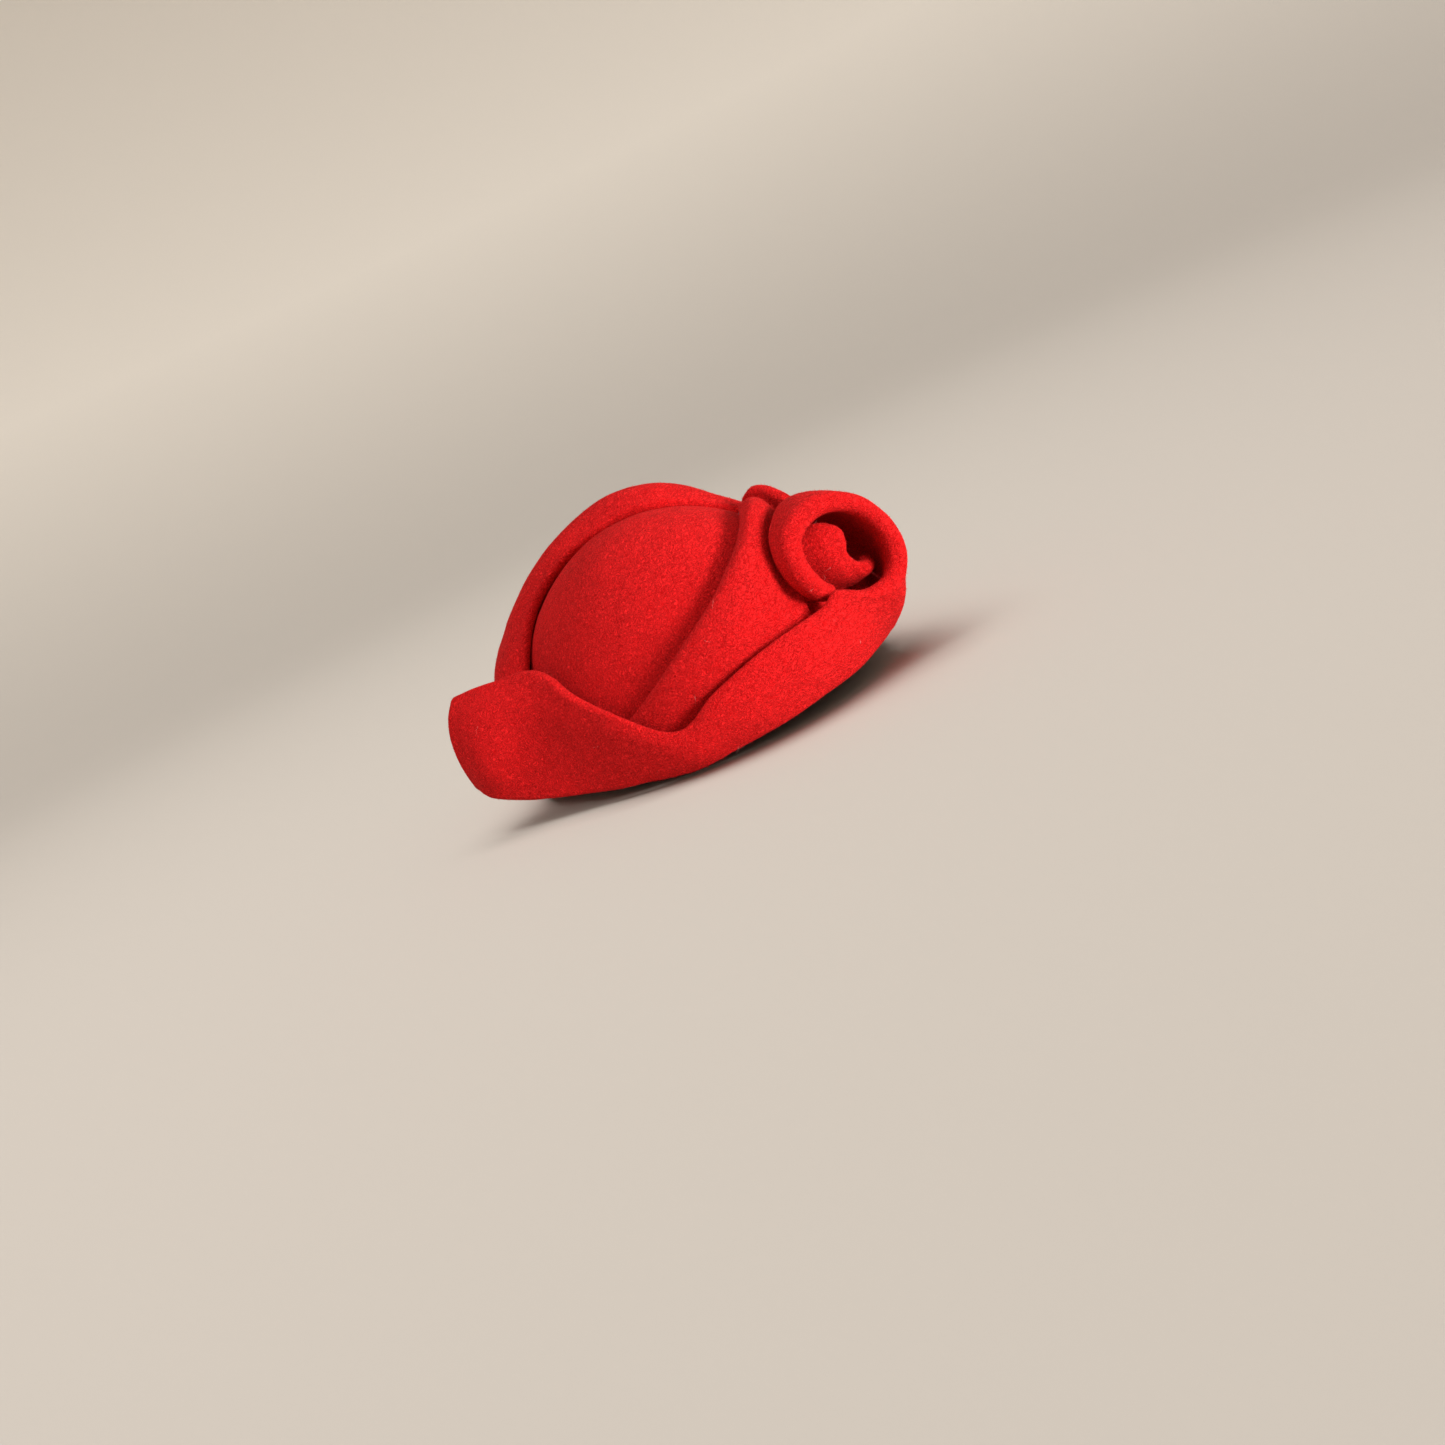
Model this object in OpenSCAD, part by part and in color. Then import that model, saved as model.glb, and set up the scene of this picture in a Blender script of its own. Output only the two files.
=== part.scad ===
/* [Crown] */
// Half width of the felt crown at its edge
crown_half_w = 69; // [66:0.5:72]
// Half length of the felt crown at its edge
crown_half_l = 83; // [80:0.5:86]
// Height of the felt crown
crown_h = 96; // [92:0.5:100]
// Thickness of the crown felt
felt_t = 3; // [2.5:0.1:3]
// How far the crown's edge is cut up at the front, in degrees of latitude
front_arch = 6; // [5:0.5:7]
// How far the crown's edge is cut up behind the wearer's right ear, in degrees of latitude
ear_arch = 2.4; // [2:0.2:3]

/* [Brim] */
// Thickness of the doubled felt of the brims
brim_t = 4.5; // [4:0.1:4.6]
// Thickness of the felt roll round the scroll's heart
bud_t = 6.4; // [5.5:0.1:6.5]
// Diameter of the millinery wire
wire_d = 1.5; // [1:0.1:1.6]

/* [Inside] */
// Thickness of the lining cloth
lining_t = 0.6; // [0.4:0.1:0.8]
// Thickness of the ribbon headband
headband_t = 1; // [0.8:0.1:1.2]
// Height of the ribbon headband
headband_h = 25; // [20:1:28]

/* [Comb] */
// Length of the comb's spine
comb_w = 44; // [38:1:46]
// Diameter of the comb's spine
spine_d = 2.4; // [2:0.1:2.6]
// Number of teeth on the comb
teeth = 13; // [9:1:15]
// Diameter of a comb tooth
tooth_d = 1.5; // [1.2:0.1:1.6]
// Radial clearance between the spine and the thread loops that hold it
spine_gap = 0.05; // [0.02:0.01:0.1]

/* [Hidden] */

felt_red = [0.78, 0.05, 0.06];
thread_red = [0.6, 0.04, 0.05];
lining_red = [0.35, 0.03, 0.05];

// ---------- Points ----------
// Every felt piece is laid out on the crown: an angle round it (0 front, 90 wearer's right,
// 180 back), a latitude up from its edge, and a stand-off from its outer face.
function on_crown(al, la, h = 0) =
    let (p = [-crown_half_w * cos(la) * sin(al), -crown_half_l * cos(la) * cos(al), crown_h * sin(la)])
    let (n = [p.x / crown_half_w ^ 2, p.y / crown_half_l ^ 2, p.z / crown_h ^ 2])
    p + h * n / norm(n);

// Latitude of the crown's edge: level round the back, arched up over the forehead and under the wing
arch_middle = -5;
arch_reach = 110;
ear_middle = 118;
ear_reach = 42;
function ease(s) = s <= 0 ? 0 : s >= 1 ? 1 : s * s * (3 - 2 * s);
function apart(a, b) = let (d = abs(a - b) % 360) min(d, 360 - d);
function edge_la(al) =
    front_arch * ease(1 - apart(al, arch_middle) / arch_reach)
    + ear_arch * ease(1 - apart(al, ear_middle) / ear_reach);

// The scroll has a frame of its own: an axis towards the front right, a centre on its lip
scroll_az = 38;
scroll_tilt = 5;
scroll_o = [-5, -93.5, 56.5];
scroll_a = [-sin(scroll_az) * cos(scroll_tilt), -cos(scroll_az) * cos(scroll_tilt), sin(scroll_tilt)];
scroll_x = [cos(scroll_az), -sin(scroll_az), 0];
scroll_y = cross(scroll_a, scroll_x);
function in_scroll(p) = scroll_o + p[1] * (cos(p[0]) * scroll_x + sin(p[0]) * scroll_y) + p[2] * scroll_a;

// ---------- Sheets ----------
function spline(p, i, t) =
    let (n = len(p) - 1)
    let (a = i > 0 ? p[i - 1] : 2 * p[0] - p[1], b = p[i], c = p[i + 1])
    let (d = i + 2 <= n ? p[i + 2] : 2 * p[n] - p[n - 1])
    0.5 * (2 * b + t * (c - a) + t ^ 2 * (2 * a - 5 * b + 4 * c - d) + t ^ 3 * (3 * b - a - 3 * c + d));
function smooth(p, per) =
    concat([for (i = [0:len(p) - 2], k = [0:per - 1]) spline(p, i, k / per)], [p[len(p) - 1]]);
function refine(net, along, across) = [for (row = smooth(net, along)) smooth(row, across)];

function unit(v) = v / norm(v);
function spot(q) = [q[0], q[1], q[2]];
function clip(i, n) = min(max(i, 0), n);
function face_dir(g, i, j) =
    let (nu = len(g) - 1, nv = len(g[0]) - 1)
    let (du = spot(g[clip(i + 1, nu)][j] - g[clip(i - 1, nu)][j]))
    let (dv = spot(g[i][clip(j + 1, nv)] - g[i][clip(j - 1, nv)]))
    unit(cross(du, dv));

edge_steps = 4;   // facets round each rounded edge
end_steps = 3;    // facets round each rounded end

// One loop of skin round row i of a sheet: over the outer face, round one edge and back
function skin_loop(g, i, s = 1, shift = 0) =
    let (nv = len(g[0]) - 1, n = [for (j = [0:nv]) face_dir(g, i, j)])
    let (first = unit(spot(g[i][0] - g[i][1])), last = unit(spot(g[i][nv] - g[i][nv - 1])))
    let (away = i == 0 ? g[0] - g[1] : g[i] - g[i - 1])
    let (slide = function(j) shift == 0 ? [0, 0, 0] : shift * g[i][j][3] / 2 * unit(spot(away[j])))
    let (p = [for (j = [0:nv]) spot(g[i][j]) + slide(j)])
    let (r = [for (j = [0:nv]) s * g[i][j][3] / 2])
    concat(
        [for (j = [0:nv]) p[j] + r[j] * n[j]],
        [for (k = [1:edge_steps - 1]) let (f = 180 * k / edge_steps)
            p[nv] + r[nv] * (cos(f) * n[nv] + sin(f) * last)],
        [for (j = [nv:-1:0]) p[j] - r[j] * n[j]],
        [for (k = [1:edge_steps - 1]) let (f = 180 * k / edge_steps)
            p[0] + r[0] * (sin(f) * first - cos(f) * n[0])]
    );

function quad(a, b, c, d) = [[a, b, c], [a, c, d]];

// A sheet of felt with rounded edges: g is its middle surface, rows of [x, y, z, thickness]
module felt_sheet(g) {
    nu = len(g) - 1;
    nv = len(g[0]);
    loops = concat(
        [for (k = [0:end_steps - 1]) let (f = 90 * k / end_steps) skin_loop(g, 0, max(sin(f), 0.05), cos(f))],
        [for (i = [0:nu]) skin_loop(g, i)],
        [for (k = [end_steps - 1:-1:0]) let (f = 90 * k / end_steps)
            skin_loop(g, nu, max(sin(f), 0.05), cos(f))]
    );
    m = len(loops[0]);
    top = (len(loops) - 1) * m;
    low = nv + edge_steps - 1;       // first point on the inner face
    walls = [for (i = [0:len(loops) - 2], j = [0:m - 1]) let (k = (j + 1) % m)
        each quad(i * m + j, i * m + k, (i + 1) * m + k, (i + 1) * m + j)];
    ends = [for (j = [0:nv - 2]) let (a = j, b = j + 1, c = low + nv - 2 - j, d = low + nv - 1 - j)
        each concat(quad(d, c, b, a), quad(top + a, top + b, top + c, top + d))];
    far = [for (k = [1:edge_steps - 1]) let (a = nv - 1, b = nv - 1 + k, c = nv + k)
        each [[c, b, a], [top + a, top + b, top + c]]];
    near = [for (k = [1:edge_steps - 1]) let (a = low + nv - 1, b = a + k, c = (a + k + 1) % m)
        each [[c, b, a], [top + a, top + b, top + c]]];
    polyhedron(points = [for (l = loops) each l], faces = concat(walls, ends, far, near));
}

// A skin that follows the crown between two stand-offs, from so many degrees above its edge to the top
module dome_skin(outer, inner, lift, round_steps, rise_steps) {
    n = round_steps;
    m = rise_steps;
    rows = [for (h = [outer, inner], i = [0:m - 1], j = [0:n - 1])
        let (al = 360 * j / n, lo = edge_la(al) + lift) on_crown(al, lo + (90 - lo) * i / m, h)];
    tips = [on_crown(0, 90, outer), on_crown(0, 90, inner)];
    o = n * m;
    out_side = [for (i = [0:m - 2], j = [0:n - 1]) let (k = (j + 1) % n)
        each quad(i * n + j, i * n + k, (i + 1) * n + k, (i + 1) * n + j)];
    in_side = [for (i = [0:m - 2], j = [0:n - 1]) let (k = (j + 1) % n)
        each quad(o + (i + 1) * n + j, o + (i + 1) * n + k, o + i * n + k, o + i * n + j)];
    caps = [for (j = [0:n - 1]) let (k = (j + 1) % n, a = (m - 1) * n)
        each [[a + j, a + k, 2 * o], [o + a + k, o + a + j, 2 * o + 1]]];
    rim = [for (j = [0:n - 1]) let (k = (j + 1) % n) each quad(o + j, o + k, k, j)];
    polyhedron(points = concat(rows, tips), faces = concat(out_side, in_side, caps, rim));
}

// A round wire or thread along a route; closed joins its two ends
module wire(route, d, sides = 8, closed = false) {
    n = len(route);
    rings = [for (i = [0:n - 1])
        let (a = closed ? route[(i + n - 1) % n] : route[max(i - 1, 0)])
        let (b = closed ? route[(i + 1) % n] : route[min(i + 1, n - 1)])
        let (t = unit(b - a), side = unit(cross(t, [0.1, 0.2, 1])), up = cross(side, t))
        [for (k = [0:sides - 1]) let (f = 360 * k / sides) route[i] + d / 2 * (cos(f) * side + sin(f) * up)]];
    spans = closed ? n - 1 : n - 2;
    walls = [for (i = [0:spans], k = [0:sides - 1]) let (l = (k + 1) % sides, e = (i + 1) % n)
        each quad(i * sides + k, e * sides + k, e * sides + l, i * sides + l)];
    caps = closed ? [] : [for (k = [1:sides - 2]) each
        [[0, k, k + 1], [(n - 1) * sides, (n - 1) * sides + k + 1, (n - 1) * sides + k]]];
    polyhedron(points = [for (r = rings) each r], faces = concat(walls, caps));
}

// A straight stretch of thread between two points
module thread(a, b, d) {
    v = b - a;
    translate(a)
        rotate([0, acos(v.z / norm(v)), atan2(v.y, v.x)])
            cylinder(h = norm(v), d = d, $fn = 16);
}

// ---------- Control nets ----------
// Wing and band, from the free end to the forehead, each row from the hem to the fold:
// [angle, latitude, stand-off]
band_net = [
    [[134, 10.8, 31], [134, 15.6, 34], [135, 20.4, 35.2], [136, 24.8, 34.5], [137.5, 28, 32.5]],
    [[128, 8.6, 28], [126, 14, 28.5], [126, 20, 27.5], [127, 26, 24.5], [130, 31, 20]],
    [[118, 6.3, 17], [117, 13, 15], [115, 19, 12], [114, 26, 11], [115, 33, 9]],
    [[104, 4.5, 8], [102, 10, 8], [100, 15, 8], [99, 20, 8.5], [99, 25, 8.5]],
    [[89, 3.2, 5], [87, 6, 7], [85, 10, 9], [84, 14, 10.5], [84, 17, 10]],
    [[73, 1.8, 3], [72, 4, 7], [72, 6, 9.5], [71, 8, 11], [71, 10, 10.5]],
    [[60, 2.6, 3], [58, 6, 8], [58, 10, 11.5], [58, 13, 12.5], [58, 14.5, 11]],
    [[43, 3.8, 3], [44, 8, 8], [44, 12, 11.5], [45, 15, 13], [45, 17.5, 12]],
    [[29, 4.9, 3], [30, 9, 8], [30, 13, 11.5], [30, 17, 13.5], [31, 19.3, 13]],
    [[18, 5.5, 3], [19, 10, 8], [20, 14, 12], [20.5, 17.5, 14.5], [20.5, 19.6, 14.6]]
];

// Turning into the scroll: [hem on the crown, top edge in the scroll, belly, thickness]
turn_net = [
    [[8, 6.3, 3.4], [-131, 23.2, 6], 2.5, 4.8],
    [[-1, 6.8, 3], [-110, 22, 5], 2.3, 5.4],
    [[-10, 7.5, 4.4], [-88, 24, 2], 2.6, 6.8],
    [[-18, 9.5, 6.8], [-66, 26.4, 0], 3.2, 8.4]
];

// Round the scroll: [angle, radius, depth] at the lip and at the back, belly, thickness
ring_net = [
    [[-47, 25.2, 0], [-43.5, 29, -40], 2.2, 8.2],
    [[-28, 22.4, 0], [-27, 25.5, -47.5], 2.6, 8],
    [[-8, 19.4, 0], [-7, 21.5, -51.5], 2.6, 7.6],
    [[12, 17.2, 0], [15.5, 19, -52], 2.4, 7.6],
    [[34, 16.2, 0], [37.5, 18.5, -47.5], 2, 7.8],
    [[60, 15.8, 0], [63.5, 18, -37.5], 1.6, 8],
    [[92, 17, 0], [92.5, 19.5, -25], 1.2, 8.6],
    [[118, 19, 0], [117, 21.4, -17], 0.5, 9.2],
    [[138, 21.4, 0], [138, 23, -10], 0, 10],
    [[154, 23.2, 0], [154, 24, -6], 0, 10.6],
    [[172, 23.4, 0.5], [172, 23.9, -4], 0, 10.4],
    [[190, 23, 0.5], [190, 23.4, -3], 0, 10],
    [[206, 22.6, 0], [206, 22.8, -2], 0, 9.4],
    [[219, 21.8, -1.5], [219, 22, -3], 0, 8],
    [[229, 21, -3], [229, 21, -4.5], 0, 6.5]
];

// Heart of the scroll: [angle, radius, depth] at its lip and at its foot
bud_net = [
    [[-44, 17.4, -14], [-45, 19.2, -30]],
    [[-52, 17.5, -11], [-55, 18.6, -27]],
    [[-61, 16.8, -9.2], [-68, 17.6, -23]],
    [[-71, 14.6, -8.4], [-84, 16.4, -19]],
    [[-82, 11, -8], [-108, 15, -15.5]],
    [[-91, 6.1, -7.6], [-133, 13.4, -14]],
    [[-45, 1.8, -7.6], [-176, 13.4, -13.5]],
    [[63, 4.3, -8.2], [155, 12.8, -13.5]],
    [[96, 7.6, -10], [133, 12.2, -15.5]]
];

// Fold of felt across the crown, from the side up to the top, left fold to right edge
pleat_t = 4;
pleat_net = [
    [[86, 15.4, 2.6], [85, 14.2, 3], [82.5, 12, 3.2], [79.5, 10.4, 3], [76.5, 9, 2.6]],
    [[75.5, 20.6, 2.8], [74, 19.8, 6], [72, 16.6, 6.4], [70, 13, 3.6], [68, 9, 2.6]],
    [[64.5, 25.8, 3], [63, 25, 8.4], [59, 21, 9.4], [56, 16.5, 4.2], [53, 12, 2.6]],
    [[51.5, 32, 3], [50, 30.8, 9.5], [46, 24.8, 11], [42, 19.5, 4], [36, 13, 2.6]],
    [[37.5, 38.4, 3], [37.3, 36.6, 10], [33.5, 29.8, 11], [29, 23.5, 3.8], [23, 17, 2.6]],
    [[21, 45.2, 3], [23, 43, 10.4], [24, 37, 9.4], [22, 29.5, 3], [19, 23, 2.5]],
    [[-2, 51.8, 3], [5, 49.4, 10.3], [11, 44, 9], [14, 37, 3], [15, 31, 2.5]],
    [[-20, 54.6, 3], [-8, 51.2, 9], [-3, 46.8, 7.8], [2, 42, 3], [6, 38, 2.5]],
    [[-37, 53.2, 3], [-26, 50.6, 6], [-19, 46.6, 5.2], [-14, 43, 3], [-9, 40, 2.5]]
];

// Small rolled strip behind the top of the pleat, lower edge to crest
petal_t = 5.4;
petal_net = [
    [[-47, 51.4, 6.2], [-46, 51.8, 7.4], [-45, 52.2, 8.6]],
    [[-44.5, 50.4, 6], [-43, 51.2, 8.6], [-41.5, 51.8, 11]],
    [[-41.5, 48.6, 6], [-39.8, 49.5, 9.2], [-38, 50.2, 12.4]],
    [[-38, 46.5, 6], [-36, 47.2, 9.4], [-34, 47.8, 12.6]],
    [[-36, 43.8, 6.2], [-33.5, 44.4, 9.4], [-31, 44.9, 12.4]],
    [[-34.5, 41.6, 6.8], [-32, 41.9, 9.4], [-29.5, 42.2, 11.8]]
];

// Turned-up brim round the back and the far side:
// [foot angle, crest angle, crest latitude, crest stand-off, inner edge angle, inner latitude, fullness]
cuff_net = [
    [130, 126, 21, 5, 131, 29, 0.5],
    [142, 141, 31, 11, 140, 39, 0.6],
    [157, 161, 36, 13, 153, 48.5, 0.45],
    [176, 174, 47, 13, 166, 58, 0.6],
    [198, 189, 58, 13, 184, 66.5, 0.4],
    [220, 212, 65, 15, 214, 75, 0.6],
    [242, 238, 68, 16, 250, 78, 0.45],
    [264, 262, 65, 16, 280, 75, 0.65],
    [284, 279, 59, 14, 292, 67.5, 0.45],
    [302, 290, 52, 11, 300, 58.5, 0.6],
    [316, 303, 44, 8, 309, 50, 0.5],
    [326, 314, 36, 5, 317, 42, 0.5],
    [333, 324, 27, 3.2, 325, 33, 0.5]
];

// ---------- Middle surfaces ----------
steps = [0, 0.25, 0.5, 0.75, 1];
function with_t(p, t) = [p.x, p.y, p.z, t];
function bow(a, b, out, belly, s) = (1 - s) * a + s * b + belly * 4 * s * (1 - s) * out;
function turn_row(r) =
    let (a = on_crown(r[0][0], r[0][1], r[0][2]), b = in_scroll(r[1]), m = (a + b) / 2)
    [for (s = steps) with_t(bow(a, b, unit([m.x, m.y, 0.3 * m.z]), r[2], s), r[3])];
function ring_row(r) =
    let (a = in_scroll(r[1]), b = in_scroll(r[0]))
    let (out = in_scroll([(r[0][0] + r[1][0]) / 2, 1, 0]) - scroll_o)
    [for (s = steps) with_t(bow(a, b, out, r[2], s), r[3])];
function crown_rows(net, t) = [for (row = net) [for (c = row) with_t(on_crown(c[0], c[1], c[2]), t)]];

brim_rows = concat(
    crown_rows(band_net, brim_t),
    [for (r = turn_net) turn_row(r)],
    [for (r = ring_net) ring_row(r)]
);
bud_rows = [for (r = bud_net) let (a = in_scroll(r[1]), b = in_scroll(r[0]))
    [for (s = [0, 0.5, 1]) with_t(bow(a, b, scroll_a, 2, s), bud_t)]];

foot_h = 3;
foot_rise = 1.2;    // degrees of latitude from the crown's edge to the brim's foot
inner_h = 3.3;
function cuff_row(c) =
    let (foot = edge_la(c[0]) + foot_rise)
    let (mid = function(s) [c[0] + (c[1] - c[0]) * s, foot + (c[2] - foot) * s])
    [
        [c[0], foot, foot_h],
        [mid(0.3)[0], mid(0.28)[1], foot_h + (c[3] - foot_h) * c[6]],
        [mid(0.6)[0], mid(0.56)[1], foot_h + (c[3] - foot_h) * (0.4 + 0.8 * c[6])],
        [mid(0.85)[0], mid(0.82)[1], c[3] * 0.97],
        [c[1], c[2], c[3]],
        [(c[1] + c[4]) / 2, c[2] * 0.45 + c[5] * 0.55, c[3] * 0.72],
        [c[4], c[5], inner_h]
    ];
cuff_rows = crown_rows([for (c = cuff_net) cuff_row(c)], brim_t);

// ---------- Felt ----------
module crown_shell() {
    color(felt_red) dome_skin(0, -felt_t, 0, 64, 12);
}

module side_brim() {
    color(felt_red) felt_sheet(refine(brim_rows, 2, 2));
}

module scroll_bud() {
    color(felt_red) felt_sheet(refine(bud_rows, 3, 2));
}

module crown_pleat() {
    color(felt_red) felt_sheet(refine(crown_rows(pleat_net, pleat_t), 3, 2));
}

module rear_petal() {
    color(felt_red) felt_sheet(refine(crown_rows(petal_net, petal_t), 3, 2));
}

module back_brim() {
    color(felt_red) felt_sheet(refine(cuff_rows, 3, 2));
}

// ---------- Inside ----------
layer_gap = 0.5;
lining_lift = 6;         // degrees of latitude from the crown's edge to the lining
lining_out = -felt_t - layer_gap;
size_wire_lift = 2.4;
size_wire_h = -felt_t - layer_gap - wire_d / 2;
headband_lift = 1;
headband_out = size_wire_h - wire_d / 2 - layer_gap;
headband_in = headband_out - headband_t;
headband_top = asin(headband_h / crown_h);

module lining() {
    color(lining_red) dome_skin(lining_out, lining_out - lining_t, lining_lift, 64, 12);
}

module headband() {
    n = 64;
    m = 4;
    pts = [for (h = [headband_out, headband_in], i = [0:m], j = [0:n - 1])
        let (al = 360 * j / n) on_crown(al, edge_la(al) + headband_lift + headband_top * i / m, h)];
    o = (m + 1) * n;
    sides = [for (i = [0:m - 1], j = [0:n - 1]) let (k = (j + 1) % n, a = i * n, b = a + n)
        each concat(quad(a + j, a + k, b + k, b + j), quad(o + b + j, o + b + k, o + a + k, o + a + j))];
    edges = [for (j = [0:n - 1]) let (k = (j + 1) % n, a = m * n)
        each concat(quad(o + j, o + k, k, j), quad(a + j, a + k, o + a + k, o + a + j))];
    color([0.2, 0.02, 0.03]) polyhedron(points = pts, faces = concat(sides, edges));
}

module headsize_wire() {
    color("silver")
        wire([for (al = [0:5:355]) on_crown(al, edge_la(al) + size_wire_lift, size_wire_h)], wire_d, 8, true);
}

// Wires inside the folded edges of the brims
module wing_wire() {
    route = [for (p = smooth([for (i = [1:6]) band_net[i][3]], 4)) on_crown(p[0], p[1], p[2])];
    color("silver") wire(route, wire_d);
}

module back_brim_wire() {
    route = [for (p = smooth([for (i = [1:11]) cuff_rows[i][4]], 3)) spot(p)];
    color("silver") wire(route, wire_d);
}

// ---------- Comb ----------
comb_at = [56.8, 0, 18];
tooth_r = 80;            // radius of a tooth's curve
tooth_lean = 6;          // how far a tooth leans in where it leaves the spine
tooth_sweep = 23;
tip_h = 0.9;
loop_thread = 1;
loop_pitch = 18;

module hair_comb() {
    pitch = (comb_w - 5) / (teeth - 1);
    color([0.15, 0.12, 0.1]) {
        translate([comb_at.x, -comb_w / 2, comb_at.z])
            rotate([-90, 0, 0])
                cylinder(h = comb_w, d = spine_d, $fn = 32);
        for (s = [-1, 1])
            translate([comb_at.x, s * comb_w / 2, comb_at.z]) sphere(d = spine_d + 0.8, $fn = 32);
        for (i = [0:teeth - 1])
            translate([comb_at.x - tooth_r * cos(tooth_lean), (i - (teeth - 1) / 2) * pitch,
                comb_at.z - tooth_r * sin(tooth_lean)])
                rotate([90, 0, 0])
                    rotate([0, 0, tooth_lean]) {
                        rotate_extrude(angle = tooth_sweep, $fn = 72)
                            translate([tooth_r, 0]) circle(d = tooth_d, $fn = 24);
                        rotate([0, 0, tooth_sweep])
                            translate([tooth_r, -tip_h / 3, 0])
                                rotate([-90, 0, 0])
                                    cylinder(h = tip_h, d1 = tooth_d - 0.1, d2 = tooth_d / 2, $fn = 24);
                    }
    }
}

// Thread loops sewn into the headband, in which the spine turns
module comb_loops() {
    r = spine_d / 2 + spine_gap + loop_thread / 2;
    color(thread_red)
        for (s = [-1, 0, 1])
            translate([comb_at.x, s * loop_pitch + (s == 0 ? 1.6 : 0), comb_at.z]) {
                rotate([90, 0, 0])
                    rotate_extrude($fn = 32)
                        translate([r, 0]) circle(d = loop_thread, $fn = 16);
                rotate([0, 90, 0])
                    translate([0, 0, r]) cylinder(h = s == 0 ? 4 : 2.6, d = loop_thread, $fn = 16);
            }
}

// ---------- Stitches ----------
thread_d = 0.8;
tack_low = -felt_t + 0.6;    // a tack starts inside the crown's felt
tack_high = 3.2;             // and ends inside the piece it holds

// A tack through the crown into a piece that lies on it
module tack(al, la, high = tack_high) {
    thread(on_crown(al, la, tack_low), on_crown(al, la, high), thread_d);
}

module headband_stitches() {
    pitch = 10;
    stitch = 3.2;
    color(thread_red)
        for (al = [0:pitch:360 - pitch])
            let (la = edge_la(al) + headband_lift + headband_top - 1)
            thread(
                on_crown(al - stitch / 2, la, headband_in),
                on_crown(al + stitch / 2, la, headband_in),
                0.6
            );
}

module side_brim_stitches() {
    color(thread_red)
        for (c = [[73, 2.4], [60, 3.2], [43, 4.4], [29, 5.6], [18, 6.2]]) tack(c[0], c[1]);
}

module back_brim_stitches() {
    color(thread_red)
        for (al = [145:15:325]) tack(al, edge_la(al) + foot_rise + 0.6);
}

module pleat_stitches() {
    color(thread_red)
        for (c = [[66, 26], [52, 32], [39, 39], [22, 45], [0, 52], [-21, 55]]) tack(c[0], c[1]);
}

// Where a point falls on the crown, a little inside its felt
function drop(p) =
    let (reach = norm([p.x / crown_half_w, p.y / crown_half_l, p.z / crown_h]))
    p * (1 - 1.5 / crown_half_l) / reach;

module scroll_stitches() {
    ties = [in_scroll([15, 19.3, -50]), in_scroll([65, 18.5, -35])];
    color(thread_red) {
        for (p = ties) thread(p, drop(p), thread_d);
        thread(in_scroll([-60, 25.5, -10]), in_scroll([-60, 17.4, -10]), thread_d);
        thread(in_scroll([228, 21, -3]), in_scroll([229, 23.2, 5]), thread_d);
    }
}

crown_shell();
side_brim();
scroll_bud();
crown_pleat();
rear_petal();
back_brim();
lining();
headband();
headsize_wire();
wing_wire();
back_brim_wire();
hair_comb();
comb_loops();
headband_stitches();
side_brim_stitches();
back_brim_stitches();
pleat_stitches();
scroll_stitches();
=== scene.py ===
"""Fascinator headpiece: the visual model of the red wool-felt hat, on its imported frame."""

import math

import bpy
import numpy as np
from mathutils import Matrix, Vector, noise


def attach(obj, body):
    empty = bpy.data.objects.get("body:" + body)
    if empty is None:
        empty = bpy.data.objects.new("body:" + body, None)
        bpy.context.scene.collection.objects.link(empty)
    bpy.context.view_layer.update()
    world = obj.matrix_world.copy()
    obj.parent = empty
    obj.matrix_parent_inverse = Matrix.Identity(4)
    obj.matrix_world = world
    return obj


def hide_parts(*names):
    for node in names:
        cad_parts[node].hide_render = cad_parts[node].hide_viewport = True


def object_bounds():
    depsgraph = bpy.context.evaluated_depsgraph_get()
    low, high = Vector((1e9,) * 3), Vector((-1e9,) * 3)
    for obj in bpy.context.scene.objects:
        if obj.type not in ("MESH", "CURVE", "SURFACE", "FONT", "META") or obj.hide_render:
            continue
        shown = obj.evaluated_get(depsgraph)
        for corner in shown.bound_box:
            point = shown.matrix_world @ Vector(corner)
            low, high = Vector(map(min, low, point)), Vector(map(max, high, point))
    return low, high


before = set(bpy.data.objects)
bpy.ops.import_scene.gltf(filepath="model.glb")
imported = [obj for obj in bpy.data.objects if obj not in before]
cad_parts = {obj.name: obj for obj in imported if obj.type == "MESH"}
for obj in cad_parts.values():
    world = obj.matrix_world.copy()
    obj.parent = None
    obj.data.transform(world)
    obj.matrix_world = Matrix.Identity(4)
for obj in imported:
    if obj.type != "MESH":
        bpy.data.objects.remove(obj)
cad_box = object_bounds()
# Lengths are in millimetres and angles in degrees up to the sheets; Blender's meshes are in metres,
# and so are the sheets' flat sizes, the stage, the lights and the camera
MM = 0.001

# ---------------------------------------------------------------- points on the crown and in the scroll
HALF_W, HALF_L, RISE = 69.0, 83.0, 96.0
FELT = 3.0
# Arches of the crown's edge, over the forehead and behind the right ear: middle angle, reach and rise
ARCHES = ((-5, 110, 6), (118, 42, 2.4))


def on_crown(al, la, h=0.0):
    """Angle round the crown (0 front, 90 wearer's right), latitude above its edge, stand-off."""
    a, b = np.radians(al), np.radians(la)
    p = np.stack([-HALF_W * np.cos(b) * np.sin(a), -HALF_L * np.cos(b) * np.cos(a), RISE * np.sin(b)], -1)
    n = p / np.array([HALF_W**2, HALF_L**2, RISE**2])
    return p + np.asarray(h)[..., None] * n / np.linalg.norm(n, axis=-1, keepdims=True)


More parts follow.
